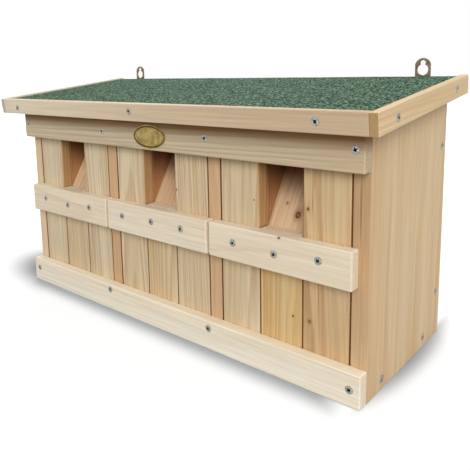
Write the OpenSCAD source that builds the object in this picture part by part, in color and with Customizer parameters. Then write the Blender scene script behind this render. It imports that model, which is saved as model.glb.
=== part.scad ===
// Sparrow nest box with three chambers side by side under one lean-to roof.
// Millimetres. X runs along the front, Y from front to back, Z up.
// Each chamber is closed by a loose front panel that lifts out for cleaning.

/* [Body] */
// Width over the two side walls
body_w = 500; // [420:1:640]
// Depth of the side walls from front edge to back edge
body_d = 178; // [150:1:260]
// Height of the side walls at their front edge
front_h = 245; // [205:1:290]
// Thickness of the side walls and the partitions
wall_t = 16; // [15:0.5:20]
// Thickness of the back wall
back_t = 16; // [10:0.5:22]
// Thickness of the floor
floor_t = 16; // [10:0.5:22]

/* [Rails] */
// Thickness of every rail
rail_t = 13; // [8:0.5:20]
// Height of the bottom rail
bottom_rail_h = 32; // [26:1:40]
// Height of the top rail
top_rail_h = 35; // [24:1:38]
// Gap between the top rail and the roof board
top_rail_gap = 2.5; // [1:0.5:8]
// Height of a cross rail
cross_rail_h = 35.5; // [24:0.5:50]
// How far a cross rail laps over the edge of the wall beside it
rail_lap = 6.5; // [3:0.5:7]

/* [Front panels] */
// Thickness of the front boards
board_t = 13; // [8:0.5:20]
// Height of an entrance, from its sill to the top rail
entrance_h = 66; // [45:1:80]
// Gap between a front panel and the wall beside it
panel_gap = 1; // [0.4:0.1:2]
// Gap between the boards of a panel
board_gap = 0.5; // [0.2:0.1:1.5]
// Spare lift after a panel's foot has cleared the bottom rail
lift_spare = 2; // [1:0.5:4]

/* [Guards] */
// Thickness of the slanted guard behind an entrance
guard_t = 11; // [6:0.5:16]
// Length of a guard's front face along its slope
guard_len = 76; // [50:1:90]
// Slope of a guard above the level
guard_pitch = 59; // [45:1:70]
// Thickness of the cheeks that hold a guard on both sides
cheek_t = 12; // [8:0.5:16]
// Depth of a cheek behind the front boards
cheek_d = 48; // [30:1:60]

/* [Roof] */
// Slope of the roof, which rises to the back
roof_pitch = 6.3; // [3:0.1:12]
// Thickness of the roof board
roof_t = 13; // [8:0.5:20]
// Thickness of the roofing felt
felt_t = 2.5; // [1:0.5:3.5]
// Reach of the roof beyond each side wall
side_overhang = 20; // [14:1:40]
// Reach of the roof in front of the side walls, along its slope
front_overhang = 33.5; // [26:0.5:60]
// Thickness of the trim strips round the roof
trim_t = 8; // [5:0.5:12]
// Height of the trim strips
trim_h = 19; // [16:0.5:30]
// How far the trim strips hang below the roof board
trim_drop = 2; // [0.5:0.5:5]

/* [Hangers] */
// Width of a hanger plate
hanger_w = 16.5; // [15:0.5:24]
// Thickness of a hanger plate
hanger_t = 1.5; // [0.8:0.1:3]
// Length of a hanger plate
hanger_len = 64; // [50:1:90]
// Height of a hanger plate's top above the back wall
hanger_rise = 34.5; // [33:0.5:45]
// Distance of a hanger's centre line from the outside of the side wall
hanger_inset = 27; // [12:0.5:60]
// Diameter of the keyhole's round hole
keyhole_d = 11.5; // [9:0.5:12]
// Depth of the round hole's centre below the top of the plate
keyhole_drop = 12.2; // [11.5:0.1:14]
// Diameter of the keyhole's notch
notch_d = 5.5; // [4:0.5:6]
// Depth of the notch's centre below the top of the plate
notch_drop = 5; // [4.5:0.1:6]

/* [Edges] */
// Width of the eased long edges of rails, front boards, guards and trim
edge_ease = 1.2; // [0.4:0.1:2]

/* [Hidden] */
SIDES = ["left", "middle", "right"];
FRAME_NODES = ["side_wall_left", "side_wall_right", "partition_left", "partition_right",
               "back_wall", "floor_board", "bottom_rail", "top_rail",
               "roof_board", "roof_felt", "roof_trim_front", "roof_trim_left", "roof_trim_right",
               "hanger_left", "hanger_right"];
PANEL_PIECES = ["board_left", "board_middle", "board_right", "cross_rail", "guard",
                "cheek_left", "cheek_right"];
$fn = 48;

pine = [0.82, 0.72, 0.56];
pine_rail = [0.84, 0.76, 0.63];
pine_inner = [0.72, 0.55, 0.37];
felt_green = [0.27, 0.38, 0.33];
plate_brown = [0.42, 0.38, 0.32];

// One chamber, and the step from one chamber to the next
chamber_w = (body_w - 4 * wall_t) / 3;
chamber_step = chamber_w + wall_t;

// The top rail sits under the roof, and the entrances open below it
top_rail_z = front_h - rail_t * tan(roof_pitch) - top_rail_gap - top_rail_h;
sill_z = top_rail_z - entrance_h;

// A front panel stands on the floor behind the bottom rail and lifts until it clears that rail
panel_w = chamber_w - 2 * panel_gap;
board_w = (panel_w - 2 * board_gap) / 3;
board_step = board_w + board_gap;
panel_lift = bottom_rail_h - floor_t + lift_spare;
board_top = front_h - panel_lift;
guard_foot = sill_z - guard_t / cos(guard_pitch);

// The roof's own frame starts at the side walls' front top edge and follows the slope
roof_w = body_w + 2 * (side_overhang - trim_t);
roof_back = body_d / cos(roof_pitch) - trim_drop * tan(roof_pitch);
roof_run = roof_back + front_overhang - trim_t;

// The origin is under the middle of the whole object
front_reach = front_overhang * cos(roof_pitch) + (trim_h - trim_drop) * sin(roof_pitch);
mid_y = (body_d + hanger_t - front_reach) / 2;

// Height of the walls' sloping top edge at a distance y behind the front edge
function wall_top(y) = front_h + y * tan(roof_pitch);

// Middle of a chamber across the front, counted -1, 0, 1 from the left
function chamber_x(i) = i * chamber_step;

// Moves a piece from the walls' front edge to the object's own origin
module placed() {
    translate([0, -mid_y, 0])
        children();
}

// Turns an outline drawn in Y and Z into a piece of the given width along X
module across(width) {
    translate([-width / 2, 0, 0])
        rotate([90, 0, 90])
            linear_extrude(width)
                children();
}

// Rectangle with eased corners, from the origin to [a, b]
module eased_section(a, b) {
    e = edge_ease;
    polygon([[e, 0], [a - e, 0], [a, e], [a, b - e], [a - e, b], [e, b], [0, b - e], [0, e]]);
}

// Upright wall between y0 and y1 that stands at z0 and meets the roof
module wall(width, y0, y1, z0) {
    across(width)
        polygon([[y0, z0], [y1, z0], [y1, wall_top(y1)], [y0, wall_top(y0)]]);
}

// Side wall on the left (-1) or the right (1)
module side_wall(side) {
    color(pine)
        placed()
            translate([side * (body_w - wall_t) / 2, 0, 0])
                wall(wall_t, 0, body_d, 0);
}

// Partition to the left (-1) or the right (1) of the middle chamber
module partition(side) {
    color(pine)
        placed()
            translate([side * chamber_step / 2, 0, 0])
                wall(wall_t, 0, body_d - back_t, floor_t);
}

module back_wall() {
    color(pine)
        placed()
            wall(body_w - 2 * wall_t, body_d - back_t, body_d, 0);
}

module floor_board() {
    inner_w = body_w - 2 * wall_t;
    color(pine)
        placed()
            translate([-inner_w / 2, 0, 0])
                cube([inner_w, body_d - back_t, floor_t]);
}

// Rail on the front of the walls, with its lower edge at z
module rail(length, height, z) {
    translate([0, -rail_t, z])
        across(length)
            eased_section(rail_t, height);
}

module bottom_rail() {
    color(pine_rail)
        placed()
            rail(body_w, bottom_rail_h, 0);
}

module top_rail() {
    color(pine_rail)
        placed()
            rail(body_w, top_rail_h, top_rail_z);
}

// Upright front board in chamber i, counted -1, 0, 1 from the panel's left, up to z1
module front_board(i, k, z1) {
    color(pine)
        placed()
            translate([chamber_x(i) + k * board_step - board_w / 2, 0, floor_t])
                linear_extrude(z1 - floor_t)
                    eased_section(board_w, board_t);
}

// Rail that joins a panel's three boards and laps over the walls on both sides
module cross_rail(i) {
    color(pine_rail)
        placed()
            translate([chamber_x(i), 0, 0])
                rail(chamber_w + 2 * rail_lap, cross_rail_h, sill_z - cross_rail_h);
}

// Cheek behind the entrance's left (-1) or right (1) edge, which reaches from the guard's foot to the boards' top
module cheek(i, side) {
    color(pine_inner)
        placed()
            translate([chamber_x(i) + side * (board_w + cheek_t) / 2 - cheek_t / 2, board_t, guard_foot])
                cube([cheek_t, cheek_d, board_top - guard_foot]);
}

// Slanted board between the cheeks: its foot is cut plumb and seats on the short board
module guard(i) {
    head = [board_t + guard_len * cos(guard_pitch), sill_z + guard_len * sin(guard_pitch)];
    heel = head + guard_t * [sin(guard_pitch), -cos(guard_pitch)];
    color(pine_inner)
        placed()
            translate([chamber_x(i), 0, 0])
                across(board_w)
                    polygon([[board_t, sill_z], [board_t, guard_foot], heel, head]);
}

// Moves a piece into the roof's own sloping frame
module on_slope() {
    placed()
        translate([0, 0, front_h])
            rotate([roof_pitch, 0, 0])
                children();
}

// Sheet that fills the roof between the trim strips, with its underside at z
module roof_sheet(thickness, z) {
    on_slope()
        translate([-roof_w / 2, trim_t - front_overhang, z])
            cube([roof_w, roof_run, thickness]);
}

module roof_board() {
    color(pine)
        roof_sheet(roof_t, 0);
}

module roof_felt() {
    color(felt_green)
        roof_sheet(felt_t, roof_t);
}

module roof_trim_front() {
    color(pine_rail)
        on_slope()
            translate([0, -front_overhang, -trim_drop])
                across(roof_w)
                    eased_section(trim_t, trim_h);
}

// Trim strip along the left (-1) or the right (1) edge of the roof
module roof_trim_side(side) {
    length = roof_run + trim_t;
    color(pine_rail)
        on_slope()
            translate([side * (roof_w + trim_t) / 2 - trim_t / 2, roof_back, -trim_drop])
                rotate([90, 0, 0])
                    linear_extrude(length)
                        eased_section(trim_t, trim_h);
}

// Plate with a rounded top and a keyhole, screwed to the back at the left (-1) or the right (1)
module hanger(side) {
    crown_r = hanger_w / 2 + edge_ease / 4;
    color(plate_brown)
        placed()
            translate([side * (body_w / 2 - hanger_inset), body_d + hanger_t, wall_top(body_d) + hanger_rise])
                rotate([90, 0, 0])
                    linear_extrude(hanger_t)
                        difference() {
                            union() {
                                translate([-hanger_w / 2, -hanger_len])
                                    square([hanger_w, hanger_len - crown_r]);
                                intersection() {
                                    translate([0, -crown_r])
                                        circle(r = crown_r);
                                    translate([-hanger_w / 2, -2 * crown_r])
                                        square([hanger_w, 2 * crown_r]);
                                }
                            }
                            translate([0, -keyhole_drop])
                                circle(d = keyhole_d);
                            translate([0, -notch_drop])
                                circle(d = notch_d);
                        }
}

side_wall(-1);  // side_wall_left
side_wall(1);  // side_wall_right
partition(-1);  // partition_left
partition(1);  // partition_right
back_wall();
floor_board();
bottom_rail();
top_rail();
roof_board();
roof_felt();
roof_trim_front();
roof_trim_side(-1);  // roof_trim_left
roof_trim_side(1);  // roof_trim_right
hanger(-1);  // hanger_left
hanger(1);  // hanger_right

// The three front panels, from the left
for (n = [0 : len(SIDES) - 1]) {
    i = n - 1;
    panel = SIDES[n];
    front_board(i, -1, board_top);
    front_board(i, 0, sill_z);
    front_board(i, 1, board_top);
    cross_rail(i);
    guard(i);
    cheek(i, -1);
    cheek(i, 1);
}
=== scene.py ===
"""Look of a pine nest box for sparrows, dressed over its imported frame."""

import logging
import math
from dataclasses import dataclass, field, replace
from enum import Enum
from typing import Any, Iterable, Optional, Sequence, Union

import bmesh
import bpy
from mathutils import Euler, Matrix, Vector, noise


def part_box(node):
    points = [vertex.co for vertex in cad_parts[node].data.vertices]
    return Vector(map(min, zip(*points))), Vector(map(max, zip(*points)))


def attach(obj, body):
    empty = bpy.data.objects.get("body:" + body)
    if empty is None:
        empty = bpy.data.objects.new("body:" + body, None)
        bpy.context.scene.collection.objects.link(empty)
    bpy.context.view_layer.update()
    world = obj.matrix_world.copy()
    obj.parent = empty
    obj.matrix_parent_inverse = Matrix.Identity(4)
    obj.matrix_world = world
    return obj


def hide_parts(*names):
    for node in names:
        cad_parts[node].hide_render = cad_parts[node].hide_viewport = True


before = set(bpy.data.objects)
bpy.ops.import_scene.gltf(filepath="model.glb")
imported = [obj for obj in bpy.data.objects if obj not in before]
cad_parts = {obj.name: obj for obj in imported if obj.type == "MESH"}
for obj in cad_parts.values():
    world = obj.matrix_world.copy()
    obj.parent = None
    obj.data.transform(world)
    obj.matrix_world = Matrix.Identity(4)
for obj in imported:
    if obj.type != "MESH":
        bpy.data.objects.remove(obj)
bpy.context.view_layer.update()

LOG = logging.getLogger("nest_box")
MM = 0.001
SCREEN_GAMMA = 2.2

Triple = tuple[float, float, float]
Span = tuple[float, float]
Colour = Triple
Socket = bpy.types.NodeSocket
Value = Union[Socket, float, Sequence[float], None]

WHITE: Colour = (1.0, 1.0, 1.0)

# How far the edges of each kind of board are rounded, in mm.
FRONT_EASE, RAIL_EASE, WALL_EASE = 1.3, 1.6, 0.7
TRIM_EASE, ROOF_EASE, GUARD_EASE, CHEEK_EASE = 0.9, 0.6, 0.8, 0.6


def linear(red: int, green: int, blue: int) -> Colour:
    """Turn a screen colour into linear light.

    Args:
        red: Red channel, 0 to 255.
        green: Green channel, 0 to 255.
        blue: Blue channel, 0 to 255.

    Returns:
        The colour in linear light, each channel from 0 to 1.
    """

    def channel(value: int) -> float:
        """Turn one channel by the sRGB curve."""
        v = value / 255.0
        return v / 12.92 if v <= 0.04045 else ((v + 0.055) / 1.055) ** 2.4

    return channel(red), channel(green), channel(blue)


@dataclass(frozen=True)
class BoxSizes:
    """Main sizes of the nest box in metres, the same as the frame's."""

    body_w: float = 0.500
    body_d: float = 0.178
    front_h: float = 0.245
    rail_t: float = 0.013
    mid_y: float = 0.0721684
    roof_pitch: float = math.radians(6.3)
    roof_t: float = 0.013
    felt_t: float = 0.0025
    side_overhang: float = 0.020
    front_overhang: float = 0.0335
    trim_t: float = 0.008
    trim_h: float = 0.019
    trim_drop: float = 0.002
    board_t: float = 0.013
    sill_z: float = 0.140065
    guard_t: float = 0.011
    guard_len: float = 0.076
    guard_pitch: float = math.radians(59)
    hanger_x: float = 0.223
    hanger_t: float = 0.0015

    @property
    def rail_face(self) -> float:
        """Y of the rails' front faces."""
        return -self.rail_t - self.mid_y

    @property
    def back_face(self) -> float:
        """Y of the back wall's outer face."""
        return self.body_d - self.mid_y

    @property
    def roof_w(self) -> float:
        """Width of the roof between its side strips."""
        return self.body_w + 2 * (self.side_overhang - self.trim_t)

    @property
    def roof_back(self) -> float:
        """Place of the roof's back edge along its slope."""
        return self.body_d / math.cos(self.roof_pitch) - self.trim_drop * math.tan(self.roof_pitch)

    @property
    def slope(self) -> Matrix:
        """Transform from the roof's own sloping frame to the object's frame."""
        return Matrix.Translation((0, -self.mid_y, self.front_h)) @ Matrix.Rotation(self.roof_pitch, 4, "X")


SIZES = BoxSizes()


class Grain(Enum):
    """Direction in which the fibres of a board run."""

    ALONG = "along the front"
    UP = "upright"
    SLOPE = "up the roof"
    GUARD = "up the guard"

    def turn(self) -> Euler:
        """Find the turn of the grain pattern on a board.

        Returns:
            The turn that brings the fibres onto the pattern's own Z axis.
        """
        if self is Grain.ALONG:
            return Euler((0.0, -math.pi / 2, 0.0))
        if self is Grain.UP:
            return Euler((0.0, 0.0, 0.0))
        pitch = SIZES.roof_pitch if self is Grain.SLOPE else SIZES.guard_pitch
        return Euler((math.pi / 2 - pitch, 0.0, 0.0))


class Tree:
    """Small helper that wires shader nodes."""

    def __init__(self, tree: bpy.types.NodeTree) -> None:
        """Keep the node tree and empty it."""
        self.tree = tree
        tree.nodes.clear()

    def node(self, kind: str, **settings: Any) -> bpy.types.Node:
        """Add a node.

        Args:
            kind: Blender's type name of the node.
            settings: Properties to set on it.

        Returns:
            The new node.
        """
        made = self.tree.nodes.new(kind)
        for key, value in settings.items():
            setattr(made, key, value)
        return made

    def put(self, socket: Socket, value: Value) -> None:
        """Link a socket to another, or set its constant.

        Args:
            socket: Input of a node.
            value: Another node's output, a constant, or None to leave the input as it is.
        """
        if isinstance(value, Socket):
            self.tree.links.new(value, socket)
        elif value is not None:
            socket.default_value = value

    def calc(self, op: str, a: Value, b: Value = None, c: Value = None) -> Socket:
        """Add a Math node.

        Args:
            op: Operation name.
            a: First value.
            b: Second value.
            c: Third value.

        Returns:
            Its result.
        """
        made = self.node("ShaderNodeMath", operation=op)
        for socket, value in zip(made.inputs, (a, b, c)):
            self.put(socket, value)
        return made.outputs[0]

    def vec(self, op: str, a: Value, b: Value = None) -> Socket:
        """Add a Vector Math node.

        Args:
            op: Operation name.
            a: First vector.
            b: Second vector.

        Returns:
            Its result, a number for lengths and products.
        """
        made = self.node("ShaderNodeVectorMath", operation=op)
        self.put(made.inputs[0], a)
        self.put(made.inputs[1], b)
        return made.outputs[1] if op in ("LENGTH", "DOT_PRODUCT") else made.outputs[0]

    def scale(self, vector: Value, factor: Value) -> Socket:
        """Add a Vector Math node that scales.

        Args:
            vector: Vector or colour.
            factor: What it is multiplied by.

        Returns:
            The scaled vector.
        """
        made = self.node("ShaderNodeVectorMath", operation="SCALE")
        self.put(made.inputs[0], vector)
        self.put(made.inputs["Scale"], factor)
        return made.outputs[0]

    def part(self, vector: Socket, axis: str) -> Socket:
        """Take one coordinate of a vector.

        Args:
            vector: The vector.
            axis: X, Y or Z.

        Returns:
            The coordinate.
        """
        made = self.node("ShaderNodeSeparateXYZ")
        self.put(made.inputs[0], vector)
        return made.outputs[axis]

    def noise(self, vector: Value, scale: float = 1.0, detail: float = 2.0,
              rough: float = 0.5) -> bpy.types.Node:
        """Add a Noise Texture node.

        Args:
            vector: Place in the texture.
            scale: Repeats per unit of the vector.
            detail: Number of finer layers.
            rough: Strength of the finer layers.

        Returns:
            The node.
        """
        made = self.node("ShaderNodeTexNoise")
        for name, value in (("Vector", vector), ("Scale", scale), ("Detail", detail), ("Roughness", rough)):
            self.put(made.inputs[name], value)
        return made

    def remap(self, value: Value, a: float, b: float, c: float = 0.0, d: float = 1.0) -> Socket:
        """Add a smooth Map Range node.

        Args:
            value: Value to map.
            a: Value that becomes c.
            b: Value that becomes d.
            c: Result at a.
            d: Result at b.

        Returns:
            The mapped value, held between c and d.
        """
        made = self.node("ShaderNodeMapRange", interpolation_type="SMOOTHSTEP")
        for socket, item in zip(made.inputs, (value, a, b, c, d)):
            self.put(socket, item)
        return made.outputs[0]

    def mix(self, share: Value, a: Value, b: Value, blend: str = "MIX") -> Socket:
        """Add a colour Mix node.

        Args:
            share: How much of b shows.
            a: First colour.
            b: Second colour.
            blend: Blend mode.

        Returns:
            The mixed colour.
        """
        made = self.node("ShaderNodeMix", data_type="RGBA", blend_type=blend)
        self.put(made.inputs[0], share)
        for socket, value in ((made.inputs[6], a), (made.inputs[7], b)):
            self.put(socket, value if isinstance(value, Socket) else (*value, 1.0))
        return made.outputs[2]

    def ramp(self, share: Value, stops: Sequence[tuple[float, Colour]]) -> Socket:
        """Add a Color Ramp node.

        Args:
            share: Place on the ramp, 0 to 1.
            stops: Places and colours of its stops.

        Returns:
            The colour at that place.
        """
        made = self.node("ShaderNodeValToRGB")
        self.put(made.inputs[0], share)
        line = made.color_ramp.elements
        while len(line) < len(stops):
            line.new(1.0)
        for stop, (place, colour) in zip(line, stops):
            stop.position = place
            stop.color = (*colour, 1.0)
        return made.outputs[0]

    def bump(self, height: Value, strength: float, distance: float) -> Socket:
        """Add a Bump node.

        Args:
            height: Height of the surface, 0 to 1.
            strength: How much of it shows.
            distance: Real height in metres.

        Returns:
            The bumped normal.
        """
        made = self.node("ShaderNodeBump")
        for name, value in (("Strength", strength), ("Distance", distance), ("Height", height)):
            self.put(made.inputs[name], value)
        return made.outputs[0]

    def shader(self, kind: str, **inputs: Value) -> Socket:
        """Add a shader node.

        Args:
            kind: Blender's type name of the node.
            inputs: Its inputs, named as on the node with underscores for spaces.

        Returns:
            The shader.
        """
        made = self.node(kind)
        for name, value in inputs.items():
            socket = made.inputs[name.replace("_", " ")]
            flat = socket.type == "RGBA" and not isinstance(value, Socket)
            self.put(socket, (*value, 1.0) if flat else value)
        return made.outputs[0]

    def either(self, share: Value, a: Socket, b: Socket) -> Socket:
        """Add a Mix Shader node.

        Args:
            share: How much of b shows.
            a: First shader.
            b: Second shader.

        Returns:
            The mixed shader.
        """
        made = self.node("ShaderNodeMixShader")
        for socket, value in zip(made.inputs, (share, a, b)):
            self.put(socket, value)
        return made.outputs[0]

    def surface(self, shader: Socket, output: str = "ShaderNodeOutputMaterial") -> None:
        """Send a shader to an output node."""
        self.put(self.node(output).inputs["Surface"], shader)


def new_material(name: str) -> tuple[bpy.types.Material, Tree]:
    """Make an empty node material.

    Args:
        name: Name of the material.

    Returns:
        The material and its tree helper.
    """
    made = bpy.data.materials.new(name)
    made.use_nodes = True
    return made, Tree(made.node_tree)


@dataclass(frozen=True)
class GrainPattern:
    """Growth rings and fibres of pine, with the pith on the pattern's own Z axis.

    The first six fields are the noises' repeats per metre, across and along the fibres.
    """

    sway: Triple = (16.0, 16.0, 2.6)
    fade: Triple = (40.0, 40.0, 4.0)
    thin: Triple = (520.0, 520.0, 3.0)
    fibre: Triple = (620.0, 620.0, 9.0)
    streak: Triple = (240.0, 240.0, 2.6)
    tone: Triple = (26.0, 26.0, 1.4)
    drift_scale: float = 130.0
    drift_rings: float = 1.8
    late_wood: float = 0.90
    rise: float = 1.6
    faintest: float = 0.25
    thin_strength: float = 0.8

    def group(self) -> bpy.types.NodeTree:
        """Make the pattern once, for every board to share.

        Returns:
            A group with Ring, Fibre, Streak and Tone outputs.
        """
        found = bpy.data.node_groups.get("pine_grain")
        if found:
            return found
        group = bpy.data.node_groups.new("pine_grain", "ShaderNodeTree")
        tree = Tree(group)
        for name, kind in (("Vector", "Vector"), ("Spacing", "Float"), ("Warp", "Float")):
            group.interface.new_socket(name=name, in_out="INPUT", socket_type=f"NodeSocket{kind}")
        for name in ("Ring", "Fibre", "Streak", "Tone"):
            group.interface.new_socket(name=name, in_out="OUTPUT", socket_type="NodeSocketFloat")
        given = tree.node("NodeGroupInput").outputs
        place = given["Vector"]
        sway = tree.noise(tree.vec("MULTIPLY", place, self.sway)).outputs["Color"]
        sway = tree.vec("SUBTRACT", sway, (0.5, 0.5, 0.5))
        bent = tree.vec("ADD", place, tree.scale(sway, given["Warp"]))
        fade = tree.noise(tree.vec("MULTIPLY", place, self.fade), detail=1.0).outputs[0]
        ring = self._rings(tree, bent, given["Spacing"])
        ring = tree.calc("MULTIPLY", ring, tree.remap(fade, 0.30, 0.68, 0.35, 1.0))
        thin = tree.noise(tree.vec("MULTIPLY", bent, self.thin), rough=0.55).outputs[0]
        thin = tree.calc("MULTIPLY", tree.remap(thin, 0.54, 0.70), tree.remap(fade, 0.40, 0.62))
        ring = tree.calc("MAXIMUM", ring, tree.calc("MULTIPLY", thin, self.thin_strength))
        fibre = tree.noise(tree.vec("MULTIPLY", bent, self.fibre), detail=3.0, rough=0.6).outputs[0]
        streak = tree.noise(tree.vec("MULTIPLY", bent, self.streak), detail=3.0, rough=0.6).outputs[0]
        tone = tree.noise(tree.vec("MULTIPLY", bent, self.tone), detail=1.0).outputs[0]
        out = tree.node("NodeGroupOutput").inputs
        for name, value in (("Ring", ring), ("Fibre", fibre), ("Streak", streak), ("Tone", tone)):
            tree.put(out[name], value)
        return group

    def _rings(self, tree: Tree, bent: Socket, spacing: Socket) -> Socket:
        """Draw the growth rings, each of its own strength.

        Args:
            tree: Tree of the group.
            bent: Swayed place in the pattern.
            spacing: Distance from ring to ring in metres.

        Returns:
            How dark the wood is, 0 to 1.
        """
        radius = tree.vec("LENGTH", tree.vec("MULTIPLY", bent, (1.0, 1.0, 0.0)))
        drift = tree.node("ShaderNodeTexNoise", noise_dimensions="1D")
        for name, value in (("W", radius), ("Scale", self.drift_scale), ("Detail", 1.0)):
            tree.put(drift.inputs[name], value)
        phase = tree.calc("DIVIDE", radius, spacing)
        phase = tree.calc("MULTIPLY_ADD", drift.outputs[0], self.drift_rings, phase)
        part = tree.calc("FRACT", phase)
        rise = tree.calc("POWER", tree.remap(part, 0.05, self.late_wood), self.rise)
        fall = tree.remap(part, self.late_wood, 1.0, 1.0, 0.0)
        lot = tree.node("ShaderNodeTexWhiteNoise", noise_dimensions="1D")
        tree.put(lot.inputs["W"], tree.calc("FLOOR", phase))
        strength = tree.calc("MULTIPLY_ADD", lot.outputs["Value"], 1.0 - self.faintest, self.faintest)
        return tree.calc("MULTIPLY", tree.calc("MULTIPLY", rise, fall), strength)


GRAIN = GrainPattern()


@dataclass(frozen=True)
class Knot:
    """Knot, nick or resin line: its place and radius in mm, its strength and how far it is drawn out."""

    place: Triple
    radius: float
    strength: float = 0.9
    halo: float = 0.45
    core: Colour = linear(62, 38, 20)
    ring: Colour = linear(168, 110, 70)
    drawn_out: float = 0.62
    heart: float = 0.75

    def over(self, tree: Tree, place: Socket, colour: Socket, axis: Vector) -> Socket:
        """Lay the knot over a colour.

        Args:
            tree: Node tree of the board.
            place: Object coordinates.
            colour: Colour without the knot.
            axis: Direction of the fibres.

        Returns:
            The colour with the knot.
        """
        radius = self.radius * MM
        away = tree.vec("SUBTRACT", place, tuple(c * MM for c in self.place))
        run = tree.calc("MULTIPLY", tree.vec("DOT_PRODUCT", away, tuple(axis)), self.drawn_out / radius)
        dist = tree.calc("DIVIDE", tree.vec("LENGTH", away), radius)
        side = tree.calc("SUBTRACT", tree.calc("POWER", dist, 2.0), tree.calc("POWER", run, 2.0))
        reach = tree.calc("SQRT", tree.calc("ABSOLUTE", side))
        halo = tree.calc("MULTIPLY", tree.remap(reach, 0.7, 2.8, 1.0, 0.0), self.halo)
        colour = tree.mix(halo, colour, self.ring)
        heart = tree.calc("MULTIPLY", tree.remap(reach, 0.28, 0.62, 1.0, 0.0), self.heart)
        core = tree.mix(heart, self.core, self.ring)
        inside = tree.calc("MULTIPLY", tree.remap(reach, 0.72, 1.08, 1.0, 0.0), self.strength)
        return tree.mix(inside, colour, core)


@dataclass(frozen=True)
class Drift:
    """Slow change of colour along one axis of the object, between two places in metres; on the top rail, the
    guards, the cheeks and the left wall's inner face it is painted shade.
    """

    axis: str
    start: float
    stop: float
    tint: Colour


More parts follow.
